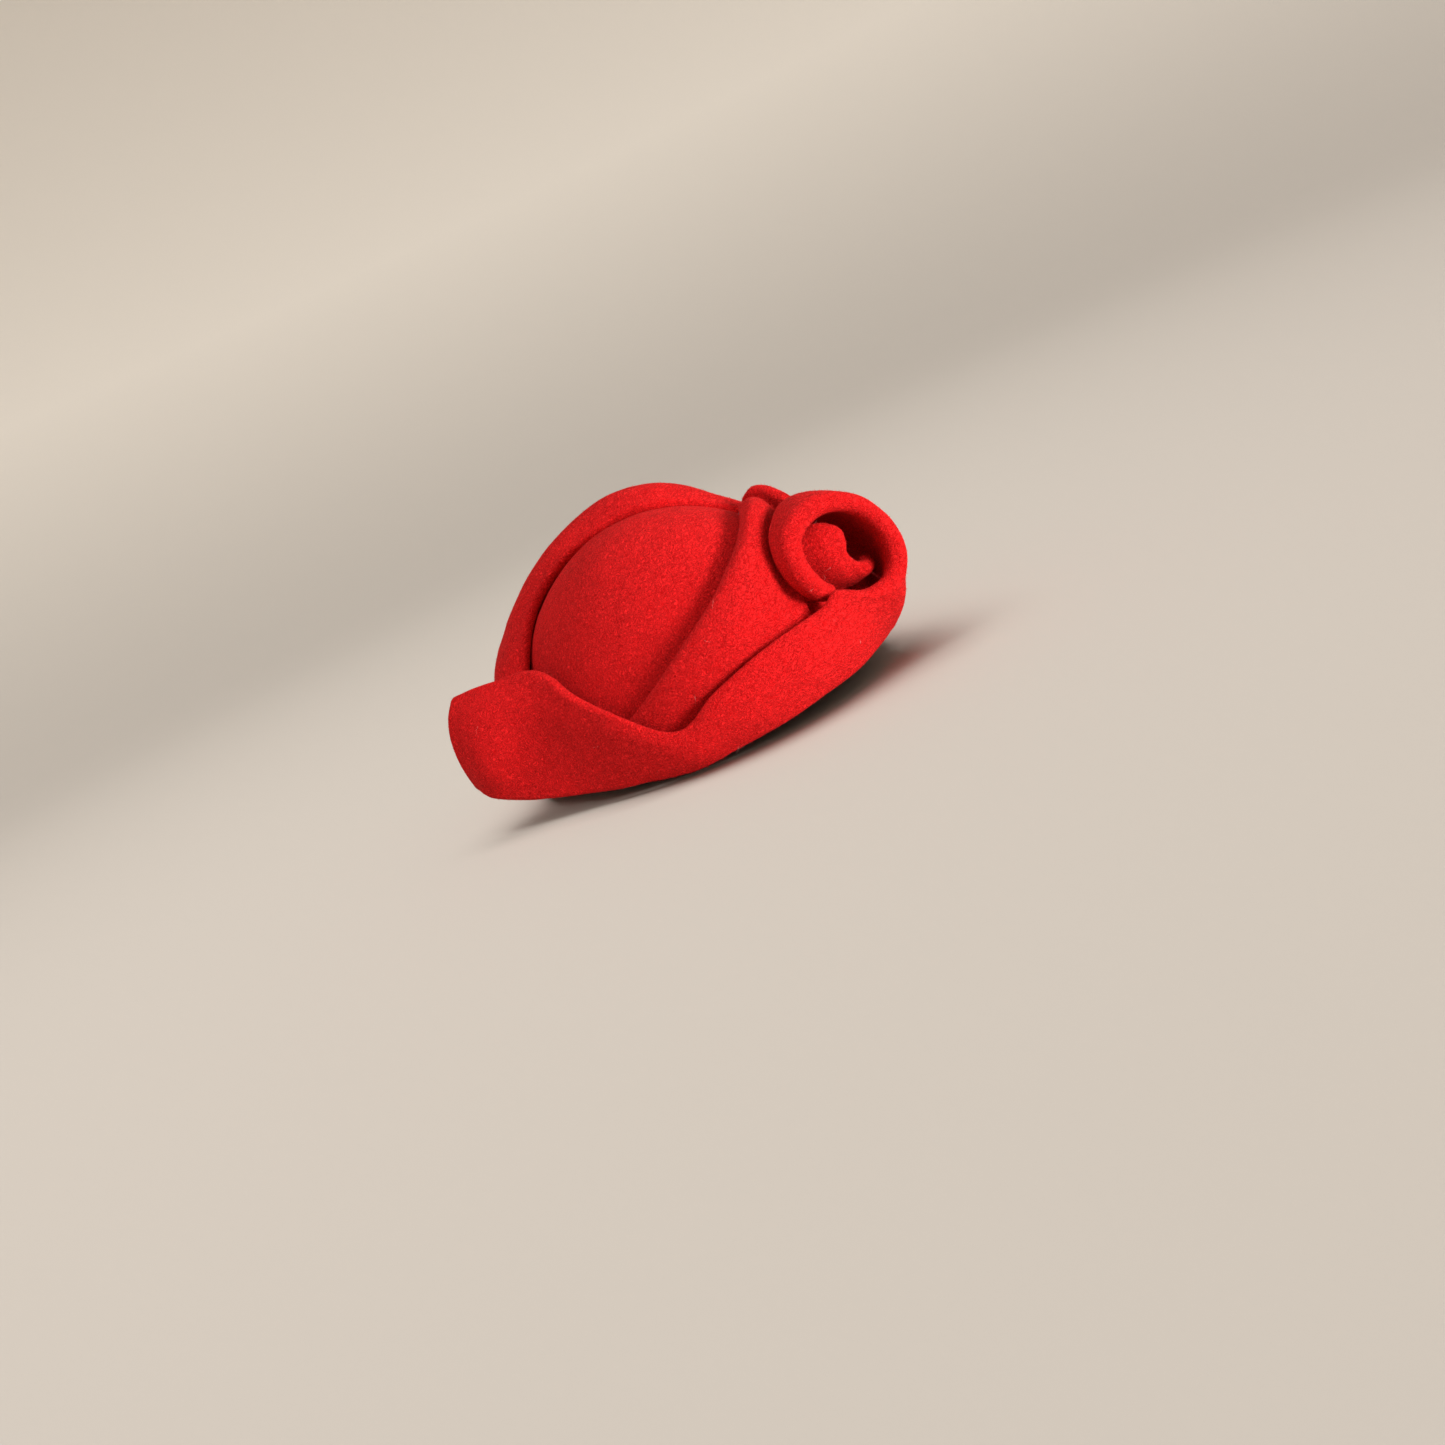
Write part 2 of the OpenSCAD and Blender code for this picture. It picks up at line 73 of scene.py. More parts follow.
def ease(s):
    """Rises smoothly from 0 to 1 as s does."""
    s = np.clip(s, 0, 1)
    return s * s * (3 - 2 * s)


def apart(al, middle):
    """How many degrees lie between two angles round the crown."""
    return np.abs((np.asarray(al) - middle + 180) % 360 - 180)


def edge_la(al):
    """Latitude of the crown's edge, raised by its arches."""
    return sum(rise * ease(1 - apart(al, middle) / reach) for middle, reach, rise in ARCHES)


SCROLL_AZ, SCROLL_TILT = math.radians(38), math.radians(5)
SCROLL_O = np.array([-5, -93.5, 56.5])
SCROLL_A = np.array(
    [
        -math.sin(SCROLL_AZ) * math.cos(SCROLL_TILT),
        -math.cos(SCROLL_AZ) * math.cos(SCROLL_TILT),
        math.sin(SCROLL_TILT),
    ]
)
SCROLL_X = np.array([math.cos(SCROLL_AZ), -math.sin(SCROLL_AZ), 0])
SCROLL_Y = np.cross(SCROLL_A, SCROLL_X)


def in_scroll(angle, radius, depth):
    """A point in the scroll's own frame: round its axis, out from it, and forwards along it."""
    a = math.radians(angle)
    return SCROLL_O + radius * (math.cos(a) * SCROLL_X + math.sin(a) * SCROLL_Y) + depth * SCROLL_A


# ---------------------------------------------------------------- control nets, as in the CAD source
# Wing and band, free end to forehead, hem to fold: (angle, latitude, stand-off)
BAND = [
    [(134, 10.8, 31), (134, 15.6, 34), (135, 20.4, 35.2), (136, 24.8, 34.5), (137.5, 28, 32.5)],
    [(128, 8.6, 28), (126, 14, 28.5), (126, 20, 27.5), (127, 26, 24.5), (130, 31, 20)],
    [(118, 6.3, 17), (117, 13, 15), (115, 19, 12), (114, 26, 11), (115, 33, 9)],
    [(104, 4.5, 8), (102, 10, 8), (100, 15, 8), (99, 20, 8.5), (99, 25, 8.5)],
    [(89, 3.2, 5), (87, 6, 7), (85, 10, 9), (84, 14, 10.5), (84, 17, 10)],
    [(73, 1.8, 3), (72, 4, 7), (72, 6, 9.5), (71, 8, 11), (71, 10, 10.5)],
    [(60, 2.6, 3), (58, 6, 8), (58, 10, 11.5), (58, 13, 12.5), (58, 14.5, 11)],
    [(43, 3.8, 3), (44, 8, 8), (44, 12, 11.5), (45, 15, 13), (45, 17.5, 12)],
    [(29, 4.9, 3), (30, 9, 8), (30, 13, 11.5), (30, 17, 13.5), (31, 19.3, 13)],
    [(18, 5.5, 3), (19, 10, 8), (20, 14, 12), (20.5, 17.5, 14.5), (20.5, 19.6, 14.6)],
]
# Turning into the scroll: hem on the crown, top edge in the scroll, belly, thickness
TURN = [
    ((8, 6.3, 3.4), (-131, 23.2, 6), 2.5, 4.8),
    ((-1, 6.8, 3), (-110, 22, 5), 2.3, 5.4),
    ((-10, 7.5, 4.4), (-88, 24, 2), 2.6, 6.8),
    ((-18, 9.5, 6.8), (-66, 26.4, 0), 3.2, 8.4),
]
# Round the scroll: (angle, radius, depth) at the lip and at the back, belly, thickness
RING = [
    ((-47, 25.2, 0), (-43.5, 29, -40), 2.2, 8.2),
    ((-28, 22.4, 0), (-27, 25.5, -47.5), 2.6, 8),
    ((-8, 19.4, 0), (-7, 21.5, -51.5), 2.6, 7.6),
    ((12, 17.2, 0), (15.5, 19, -52), 2.4, 7.6),
    ((34, 16.2, 0), (37.5, 18.5, -47.5), 2, 7.8),
    ((60, 15.8, 0), (63.5, 18, -37.5), 1.6, 8),
    ((92, 17, 0), (92.5, 19.5, -25), 1.2, 8.6),
    ((118, 19, 0), (117, 21.4, -17), 0.5, 9.2),
    ((138, 21.4, 0), (138, 23, -10), 0, 10),
    ((154, 23.2, 0), (154, 24, -6), 0, 10.6),
    ((172, 23.4, 0.5), (172, 23.9, -4), 0, 10.4),
    ((190, 23, 0.5), (190, 23.4, -3), 0, 10),
    ((206, 22.6, 0), (206, 22.8, -2), 0, 9.4),
    ((219, 21.8, -1.5), (219, 22, -3), 0, 8),
    ((229, 21, -3), (229, 21, -4.5), 0, 6.5),
]
# Heart of the scroll: (angle, radius, depth) at its lip and at its foot
BUD = [
    ((-44, 17.4, -14), (-45, 19.2, -30)),
    ((-52, 17.5, -11), (-55, 18.6, -27)),
    ((-61, 16.8, -9.2), (-68, 17.6, -23)),
    ((-71, 14.6, -8.4), (-84, 16.4, -19)),
    ((-82, 11, -8), (-108, 15, -15.5)),
    ((-91, 6.1, -7.6), (-133, 13.4, -14)),
    ((-45, 1.8, -7.6), (-176, 13.4, -13.5)),
    ((63, 4.3, -8.2), (155, 12.8, -13.5)),
    ((96, 7.6, -10), (133, 12.2, -15.5)),
]
# Fold across the crown, from the side up to the top, left fold to right edge
PLEAT = [
    [(86, 15.4, 2.6), (85, 14.2, 3), (82.5, 12, 3.2), (79.5, 10.4, 3), (76.5, 9, 2.6)],
    [(75.5, 20.6, 2.8), (74, 19.8, 6), (72, 16.6, 6.4), (70, 13, 3.6), (68, 9, 2.6)],
    [(64.5, 25.8, 3), (63, 25, 8.4), (59, 21, 9.4), (56, 16.5, 4.2), (53, 12, 2.6)],
    [(51.5, 32, 3), (50, 30.8, 9.5), (46, 24.8, 11), (42, 19.5, 4), (36, 13, 2.6)],
    [(37.5, 38.4, 3), (37.3, 36.6, 10), (33.5, 29.8, 11), (29, 23.5, 3.8), (23, 17, 2.6)],
    [(21, 45.2, 3), (23, 43, 10.4), (24, 37, 9.4), (22, 29.5, 3), (19, 23, 2.5)],
    [(-2, 51.8, 3), (5, 49.4, 10.3), (11, 44, 9), (14, 37, 3), (15, 31, 2.5)],
    [(-20, 54.6, 3), (-8, 51.2, 9), (-3, 46.8, 7.8), (2, 42, 3), (6, 38, 2.5)],
    [(-37, 53.2, 3), (-26, 50.6, 6), (-19, 46.6, 5.2), (-14, 43, 3), (-9, 40, 2.5)],
]
# Rolled strip behind the top of the pleat, lower edge to crest
PETAL = [
    [(-47, 51.4, 6.2), (-46, 51.8, 7.4), (-45, 52.2, 8.6)],
    [(-44.5, 50.4, 6), (-43, 51.2, 8.6), (-41.5, 51.8, 11)],
    [(-41.5, 48.6, 6), (-39.8, 49.5, 9.2), (-38, 50.2, 12.4)],
    [(-38, 46.5, 6), (-36, 47.2, 9.4), (-34, 47.8, 12.6)],
    [(-36, 43.8, 6.2), (-33.5, 44.4, 9.4), (-31, 44.9, 12.4)],
    [(-34.5, 41.6, 6.8), (-32, 41.9, 9.4), (-29.5, 42.2, 11.8)],
]
# Turned-up brim: foot angle, crest angle, latitude and stand-off, inner edge angle and latitude, fullness
CUFF = [
    (130, 126, 21, 5, 131, 29, 0.5),
    (142, 141, 31, 11, 140, 39, 0.6),
    (157, 161, 36, 13, 153, 48.5, 0.45),
    (176, 174, 47, 13, 166, 58, 0.6),
    (198, 189, 58, 13, 184, 66.5, 0.4),
    (220, 212, 65, 15, 214, 75, 0.6),
    (242, 238, 68, 16, 250, 78, 0.45),
    (264, 262, 65, 16, 280, 75, 0.65),
    (284, 279, 59, 14, 292, 67.5, 0.45),
    (302, 290, 52, 11, 300, 58.5, 0.6),
    (316, 303, 44, 8, 309, 50, 0.5),
    (326, 314, 36, 5, 317, 42, 0.5),
    (333, 324, 27, 3.2, 325, 33, 0.5),
]
BRIM_T, PLEAT_T, PETAL_T, BUD_T = 4.5, 4.0, 5.4, 6.4
STEPS, BUD_STEPS = (0, 0.25, 0.5, 0.75, 1), (0, 0.5, 1)
BUD_BELLY = 2
# The turned-up brim's foot: stand-off, and latitude above the crown's edge. Then its inner edge's stand-off
FOOT_H, FOOT_RISE, INNER_H = 3, 1.2, 3.3


def crown_rows(net, t):
    """A net in crown coordinates as points, each with the felt's thickness there."""
    return [[np.append(on_crown(*c), t) for c in row] for row in net]


def bowed(a, b, out, belly, t, steps=STEPS):
    """A row of points from a to b that bellies outwards in the middle."""
    return [np.append((1 - s) * a + s * b + belly * 4 * s * (1 - s) * out, t) for s in steps]


def turn_row(hem, top, belly, t):
    """A row of the strip where it leaves the crown and turns into the scroll."""
    a, b = on_crown(*hem), in_scroll(*top)
    out = (a + b) / 2 * np.array([1, 1, 0.3])
    return bowed(a, b, out / np.linalg.norm(out), belly, t)


def ring_row(lip, back, belly, t):
    """A row of the scroll's outer ring, from its back edge to its lip."""
    out = in_scroll((lip[0] + back[0]) / 2, 1, 0) - SCROLL_O
    return bowed(in_scroll(*back), in_scroll(*lip), out, belly, t)


def cuff_row(foot_al, crest_al, crest_la, crest_h, inner_al, inner_la, full):
    """A row of the turned-up brim: up the outside, over the crest and down to the inner edge."""
    foot, stand = edge_la(foot_al) + FOOT_RISE, crest_h - FOOT_H

    def outside(along, up, h):
        return foot_al + (crest_al - foot_al) * along, foot + (crest_la - foot) * up, h

    return [
        (foot_al, foot, FOOT_H),
        outside(0.3, 0.28, FOOT_H + stand * full),
        outside(0.6, 0.56, FOOT_H + stand * (0.4 + 0.8 * full)),
        outside(0.85, 0.82, crest_h * 0.97),
        (crest_al, crest_la, crest_h),
        ((crest_al + inner_al) / 2, crest_la * 0.45 + inner_la * 0.55, crest_h * 0.72),
        (inner_al, inner_la, INNER_H),
    ]


# ---------------------------------------------------------------- meshes
TIP = 0.04  # the smallest loop at a sheet's rounded end, as a share of its thickness


def unit(v):
    """Vectors of length one."""
    return v / np.maximum(np.linalg.norm(v, axis=-1, keepdims=True), 1e-9)


def smooth(rows, per):
    """Catmull-Rom curve through the rows, per samples to a span."""
    rows = np.asarray(rows, float)
    ends = np.concatenate([[2 * rows[0] - rows[1]], rows, [2 * rows[-1] - rows[-2]]])
    out = []
    for a, b, c, d in zip(ends, ends[1:], ends[2:], ends[3:], strict=False):
        square, cube = 2 * a - 5 * b + 4 * c - d, 3 * b - a - 3 * c + d
        out += [0.5 * (2 * b + (c - a) * t + square * t**2 + cube * t**3) for t in np.arange(per) / per]
    return np.array([*out, rows[-1]])


def refine(net, along, across):
    """The net made finer, along its rows and across them."""
    return np.swapaxes(smooth(np.swapaxes(smooth(net, along), 0, 1), across), 0, 1)


def felt_sheet(grid, arc=8, cap=6):
    """Closed skin round a middle surface [row][column][x, y, z, thickness], with rounded edges."""
    g, r = grid[..., :3], grid[..., 3] / 2
    n = unit(np.cross(np.gradient(g, axis=0), np.gradient(g, axis=1)))
    near, far = unit(g[:, 0] - g[:, 1]), unit(g[:, -1] - g[:, -2])
    turn = np.pi * np.arange(1, arc) / arc

    def loop(i, scale=1.0, shift=0.0, away=None):
        p = g[i] if away is None else g[i] + (r[i] * shift)[:, None] * away
        q = (r[i] * scale)[:, None]
        over = p[-1] + q[-1] * (np.cos(turn)[:, None] * n[i, -1] + np.sin(turn)[:, None] * far[i])
        under = p[0] + q[0] * (np.sin(turn)[:, None] * near[i] - np.cos(turn)[:, None] * n[i, 0])
        return np.concatenate([p + q * n[i], over, (p - q * n[i])[::-1], under])

    f = np.pi / 2 * np.arange(cap) / cap
    start = [loop(0, max(math.sin(x), TIP), math.cos(x), unit(g[0] - g[1])) for x in f]
    stop = [loop(-1, max(math.sin(x), TIP), math.cos(x), unit(g[-1] - g[-2])) for x in f[::-1]]
    loops = np.array(start + [loop(i) for i in range(len(g))] + stop)
    count, m = loops.shape[:2]
    faces = [
        (i * m + j, i * m + (j + 1) % m, (i + 1) * m + (j + 1) % m, (i + 1) * m + j)
        for i in range(count - 1)
        for j in range(m)
    ]
    nv = g.shape[1]
    low = nv + arc - 1
    caps = [(j, low + nv - 1 - j, low + nv - 2 - j, j + 1) for j in range(nv - 1)]
    caps += [tuple(range(low, nv - 2, -1)), (0, *range(m - 1, low + nv - 2, -1))]
    top = (count - 1) * m
    faces += caps + [tuple(top + k for k in reversed(c)) for c in caps]
    return loops.reshape(-1, 3), faces


def dome(profile, columns):
    """A skin that follows the crown. profile(al) gives its (latitude, stand-off) points, tip to tip."""
    al = 360 * np.arange(columns) / columns
    rings = [profile(a) for a in al]
    la = np.array([[p[0] for p in r] for r in rings])
    h = np.array([[p[1] for p in r] for r in rings])
    pts = on_crown(np.repeat(al[:, None], la.shape[1], 1), la, h)
    m = la.shape[1]
    verts = [pts[0, 0], pts[0, -1]] + list(pts[:, 1:-1].reshape(-1, 3))

    def at(i, j):
        """Index of point j between the tips in column i."""
        return 2 + (i % columns) * (m - 2) + j

    faces = []
    for i in range(columns):
        faces.append((0, at(i + 1, 0), at(i, 0)))
        faces.append((1, at(i, m - 3), at(i + 1, m - 3)))
        faces += [(at(i, j), at(i + 1, j), at(i + 1, j + 1), at(i, j + 1)) for j in range(m - 3)]
    return np.array(verts), faces


def shell_profile(outer, inner, lift, rows, ripple=None):
    """Inner face from the top down, a rounded edge, and the outer face back up."""
    middle, r = (outer + inner) / 2, (outer - inner) / 2
    degree = math.radians(1) * RISE  # millimetres to a degree of latitude near the edge
    round_edge = np.pi * np.arange(1, 6) / 6

    def profile(al):
        lo = edge_la(al) + lift + r / degree
        las = [lo + (90 - lo) * (1 - k / rows) for k in range(rows + 1)]

        def wave(la):
            return ripple(al, (la - lo) / (90 - lo)) if ripple else 0.0

        down = [(la, inner + wave(la)) for la in las]
        rim = [(lo - r * math.sin(f) / degree, middle - r * math.cos(f) + wave(lo)) for f in round_edge]
        return down + rim + [(la, outer + wave(la)) for la in reversed(las)]

    return profile


def put(name, verts, faces, material, slot, nodes=(), uneven=()):
    """One piece on the hat's body. uneven lists (size, height) of gentle unevenness, in millimetres."""
    mesh = bpy.data.meshes.new(name)
    outward = [tuple(int(k) for k in reversed(f)) for f in faces]  # the grids above wind inwards
    mesh.from_pydata((np.asarray(verts) * MM).tolist(), [], outward)
    mesh.update()
    if uneven:
        count = len(mesh.vertices)
        co, normal = np.empty(count * 3), np.empty(count * 3)
        mesh.vertices.foreach_get("co", co)
        mesh.vertices.foreach_get("normal", normal)
        co, normal = co.reshape(-1, 3), normal.reshape(-1, 3)
        for size, height in uneven:
            push = [noise.noise(Vector(p) / (size * MM)) * height * MM for p in co]
            co = co + normal * np.array(push)[:, None]
        mesh.vertices.foreach_set("co", co.ravel())
        mesh.update()
    mesh.polygons.foreach_set("use_smooth", [True] * len(mesh.polygons))
    mesh.materials.append(material)
    piece = bpy.data.objects.new(name, mesh)
    bpy.context.scene.collection.objects.link(piece)
    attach(piece, "hat")
    if nodes:
        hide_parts(*nodes)
    return piece


# ---------------------------------------------------------------- materials
class Look:
    """A node material: its tree, its shader and a few short ways to add nodes."""

    def __init__(self, name, **sockets):
        self.material = bpy.data.materials.new(name)
        self.material.use_nodes = True
        self.tree = self.material.node_tree
        self.shader = self.tree.nodes["Principled BSDF"]
        for socket, value in sockets.items():
            self.shader.inputs[socket.replace("_", " ")].default_value = value
        self.place = self.add("ShaderNodeTexCoord").outputs["Object"]

    def add(self, kind, inputs=(), **settings):
        n = self.tree.nodes.new(kind)
        for key, value in settings.items():
            setattr(n, key, value)
        for key, value in dict(inputs).items():
            if isinstance(value, bpy.types.NodeSocket):
                self.tree.links.new(value, n.inputs[key])
            else:
                n.inputs[key].default_value = value
        return n

    def noise(self, size, detail=2.0, rough=0.5, vector=None, distortion=0.0):
        """Noise of that size in millimetres."""
        return self.add(
            "ShaderNodeTexNoise",
            {
                "Vector": vector or self.place,
                "Scale": 1 / (size * MM),
                "Detail": detail,
                "Roughness": rough,
                "Distortion": distortion,
            },
        )

    def span(self, value, low, high, out_low=0.0, out_high=1.0):
        """The range from low to high drawn out to the other range, and held at its ends."""
        return self.add(
            "ShaderNodeMapRange",
            {"Value": value, "From Min": low, "From Max": high, "To Min": out_low, "To Max": out_high},
        ).outputs["Result"]

    def math(self, how, a, b):
        return self.add("ShaderNodeMath", {0: a, 1: b}, operation=how).outputs[0]

    def mix(self, factor, a, b):
        n = self.add("ShaderNodeMix", data_type="RGBA")
        for key, value in ((0, factor), (6, a), (7, b)):
            if isinstance(value, bpy.types.NodeSocket):
                self.tree.links.new(value, n.inputs[key])
            else:
                n.inputs[key].default_value = value if key == 0 else (*value, 1)
        return n.outputs[2]

    def strands(self, turn, long, thin, low, high, vector=None):
        """Noise drawn out along one direction, so that it reads as short fibres."""
        there = self.add(
            "ShaderNodeMapping",
            {"Vector": vector or self.place, "Rotation": turn, "Scale": (thin / long, 1, 1)},
        ).outputs["Vector"]
        return self.span(self.noise(thin, 1.5, 0.5, there).outputs["Fac"], low, high)

    def finish(self, colour=None, roughness=None, height=None, depth=0.3, strength=0.6):
        """Link what varies to the shader. depth is the height of the relief in millimetres."""
        for socket, value in (("Base Color", colour), ("Roughness", roughness)):
            if value is not None:
                self.tree.links.new(value, self.shader.inputs[socket])
        if height is not None:
            settings = {"Height": height, "Distance": depth * MM, "Strength": strength}
            bump = self.add("ShaderNodeBump", settings)
            self.tree.links.new(bump.outputs["Normal"], self.shader.inputs["Normal"])
        return self.material


def felt_look():
    """Wool felt: matted short fibres in every direction over a cloudy red, with a soft nap, and painted
    shade in the pits of its grain.
    """
    k = Look("wool_felt", Roughness=0.95, Specular_IOR_Level=0.08, Sheen_Weight=0.10, Sheen_Roughness=0.5)
    k.shader.inputs["Sheen Tint"].default_value = (1.0, 0.10, 0.09, 1)
    # Places pushed about by up to a couple of millimetres, so that the fibres curve
    bent = k.add(
        "ShaderNodeVectorMath",
        {0: k.noise(2.4, 1.0).outputs["Color"], 1: (0.5, 0.5, 0.5)},
        operation="SUBTRACT",
    ).outputs[0]
    bent = k.add("ShaderNodeVectorMath", {0: bent, "Scale": 3.2 * MM}, operation="SCALE").outputs[0]
    bent = k.add("ShaderNodeVectorMath", {0: k.place, 1: bent}, operation="ADD").outputs[0]
    fibres = 0.0
    for turn in [(0.3, 0.5, 0.2), (1.1, 0.2, 2.2), (0.4, 1.9, 1.2), (2.0, 0.8, 0.6), (0.9, 1.3, 2.9)]:
        fibres = k.math("MAXIMUM", fibres, k.strands(turn, 3.4, 0.46, 0.56, 0.70, bent))
    grain_and_pit_shade = k.noise(0.8, 3.0, 0.7).outputs["Fac"]
    clumps = k.noise(2.2, 2.0, 0.55).outputs["Fac"]
    clouds = k.noise(17, 3.0, 0.55).outputs["Fac"]
    colour = k.mix(k.span(clouds, 0.36, 0.66), (0.41, 0.0018, 0.0025), (0.52, 0.0026, 0.0035))
    colour = k.mix(k.span(clumps, 0.40, 0.68, 0.0, 0.55), colour, (0.70, 0.006, 0.008))
    # Painted shade: the low points of the grain, which the bump also sinks, are darkened like shade in the
    # pits between fibres
    colour = k.mix(k.span(grain_and_pit_shade, 0.52, 0.36, 0.0, 0.6), colour, (0.20, 0.0006, 0.001))
    colour = k.mix(k.math("MULTIPLY", fibres, 0.85), colour, (1.0, 0.020, 0.022))
    height = k.math("ADD", k.math("MULTIPLY", grain_and_pit_shade, 0.8), k.math("MULTIPLY", clumps, 0.5))
    height = k.math("ADD", height, k.math("MULTIPLY", fibres, 0.5))
    return k.finish(colour, k.span(grain_and_pit_shade, 0.3, 0.7, 1.0, 0.86), height, 0.6, 0.85)


def nap_look(name, dark, light):
    """A loose wool fibre: its tone drifts from one fibre to the next."""
    k = Look(name, Roughness=0.8, Specular_IOR_Level=0.2)
    tone = k.noise(1.3, 2.0).outputs["Fac"]
    return k.finish(k.mix(k.span(tone, 0.35, 0.65), dark, light), k.span(tone, 0.3, 0.7, 0.7, 0.9))


def lining_look():
    """Satin: a fine warp-faced weave with slubs."""
    k = Look("lining_satin", Specular_IOR_Level=0.5, Anisotropic=0.4, Sheen_Weight=0.15, Sheen_Roughness=0.3)
    slubs = k.strands((0.0, 1.57, 0.0), 9.0, 0.5, 0.35, 0.75)
    weave = k.strands((0.2, 0.1, 1.4), 3.0, 0.22, 0.3, 0.7)
    clouds = k.noise(24, 2.0).outputs["Fac"]
    colour = k.mix(k.span(clouds, 0.35, 0.65), (0.20, 0.008, 0.016), (0.27, 0.012, 0.022))
    colour = k.mix(k.math("MULTIPLY", slubs, 0.3), colour, (0.40, 0.03, 0.045))
    height = k.math("ADD", k.math("MULTIPLY", weave, 0.6), k.math("MULTIPLY", slubs, 0.4))
    return k.finish(colour, k.span(slubs, 0, 1, 0.32, 0.46), height, 0.08, 0.5)


def ribbon_look():
    """Grosgrain: matt ribs with a fine woven surface."""
    k = Look("grosgrain_ribbon", Specular_IOR_Level=0.35, Sheen_Weight=0.2, Sheen_Roughness=0.4)
    k.shader.inputs["Sheen Tint"].default_value = (0.9, 0.4, 0.4, 1)
    weave = k.strands((0.0, 1.57, 0.0), 1.2, 0.25, 0.3, 0.7)
    clouds = k.noise(9, 3.0).outputs["Fac"]
    colour = k.mix(k.span(clouds, 0.35, 0.65), (0.10, 0.006, 0.011), (0.155, 0.010, 0.018))
    colour = k.mix(k.math("MULTIPLY", weave, 0.35), colour, (0.24, 0.022, 0.032))
    return k.finish(colour, k.span(clouds, 0.3, 0.7, 0.62, 0.78), weave, 0.1, 0.6)


def thread_look():
    """Two-ply sewing thread."""
    k = Look("sewing_thread", Specular_IOR_Level=0.4, Sheen_Weight=0.2, Sheen_Roughness=0.4)
    ply = k.add(
        "ShaderNodeTexWave",
        {"Vector": k.place, "Scale": 320.0, "Distortion": 1.0, "Detail": 1.0},
        bands_direction="DIAGONAL",
    ).outputs["Fac"]
    colour = k.mix(ply, (0.26, 0.008, 0.014), (0.52, 0.022, 0.032))
    return k.finish(colour, k.span(ply, 0, 1, 0.7, 0.55), ply, 0.12, 0.7)


def wire_look():
    """Dull drawn steel."""
    k = Look("millinery_wire", Metallic=1.0)
    drawn = k.strands((0.0, 0.0, 0.6), 12.0, 0.15, 0.3, 0.7)
    spots = k.noise(3.0, 3.0).outputs["Fac"]
    colour = k.mix(k.span(spots, 0.35, 0.65), (0.42, 0.41, 0.40), (0.60, 0.60, 0.61))
    return k.finish(colour, k.span(drawn, 0, 1, 0.34, 0.5), drawn, 0.03, 0.5)


def comb_look():
    """Moulded plastic with a satin face, faint flow marks and rubbed teeth."""
    k = Look("comb_plastic", Specular_IOR_Level=0.5, Coat_Weight=0.12, Coat_Roughness=0.25)
    flow = k.noise(7, 4.0, 0.6, distortion=1.2).outputs["Fac"]
    rubs = k.strands((0.0, 1.2, 0.0), 5.0, 0.12, 0.60, 0.75)
    colour = k.mix(k.span(flow, 0.3, 0.7), (0.030, 0.020, 0.016), (0.060, 0.038, 0.028))
    colour = k.mix(k.math("MULTIPLY", rubs, 0.35), colour, (0.12, 0.09, 0.075))
    return k.finish(colour, k.span(flow, 0.3, 0.7, 0.30, 0.42), rubs, 0.04, 0.4)


FELT_LOOK, LINING_LOOK, RIBBON_LOOK = felt_look(), lining_look(), ribbon_look()
NAP_LOOK = nap_look("loose_wool", (0.40, 0.002, 0.003), (0.90, 0.03, 0.03))
LINT_LOOK = nap_look("pale_lint", (0.60, 0.22, 0.20), (0.80, 0.52, 0.47))
THREAD_LOOK, WIRE_LOOK, COMB_LOOK = thread_look(), wire_look(), comb_look()

# ---------------------------------------------------------------- felt
# Gentle unevenness of handled felt: (size, height)
UNEVEN = ((34, 0.8), (12, 0.25), (4.5, 0.08))
CROWN_UNEVEN = ((34, 0.6), (12, 0.2), (4.5, 0.08))


def felt(node, net, along, across, uneven=UNEVEN):
    """The visual sheet that stands for one felt node."""
    return put(f"{node}_felt", *felt_sheet(refine(net, along, across)), FELT_LOOK, "felt", [node], uneven)


crown_skin = dome(shell_profile(0.0, -FELT, 0.0, 90), 300)
crown = put("crown_felt", *crown_skin, FELT_LOOK, "felt", ["crown_shell"], CROWN_UNEVEN)
brim_net = crown_rows(BAND, BRIM_T) + [turn_row(*r) for r in TURN] + [ring_row(*r) for r in RING]
side_brim = felt("side_brim", brim_net, 9, 9)
bud_net = [
    bowed(in_scroll(*foot), in_scroll(*lip), SCROLL_A, BUD_BELLY, BUD_T, BUD_STEPS) for lip, foot in BUD
]
bud = felt("scroll_bud", bud_net, 10, 8, UNEVEN[1:])
pleat = felt("crown_pleat", crown_rows(PLEAT, PLEAT_T), 14, 10)
petal = felt("rear_petal", crown_rows(PETAL, PETAL_T), 10, 8, UNEVEN[1:])
back_brim = felt("back_brim", crown_rows([cuff_row(*r) for r in CUFF], BRIM_T), 14, 8)

# ---------------------------------------------------------------- loose fibres on the felt
ROOT_DEPTH = 0.12  # how far inside the felt a fibre starts
STRAY = 0.4  # how far a fibre's tip strays from the way its root points
DROOP = 0.35  # how much lower the outer half of a fibre lies than its inner half
TAPER = 0.8  # thickness in the middle of a fibre, as a share of that at its root
FIBRE_FACES = [(2, 1, 0), (3, 4, 6), (4, 5, 6), (5, 3, 6), (0, 1, 4, 3), (1, 2, 5, 4), (2, 0, 3, 5)]


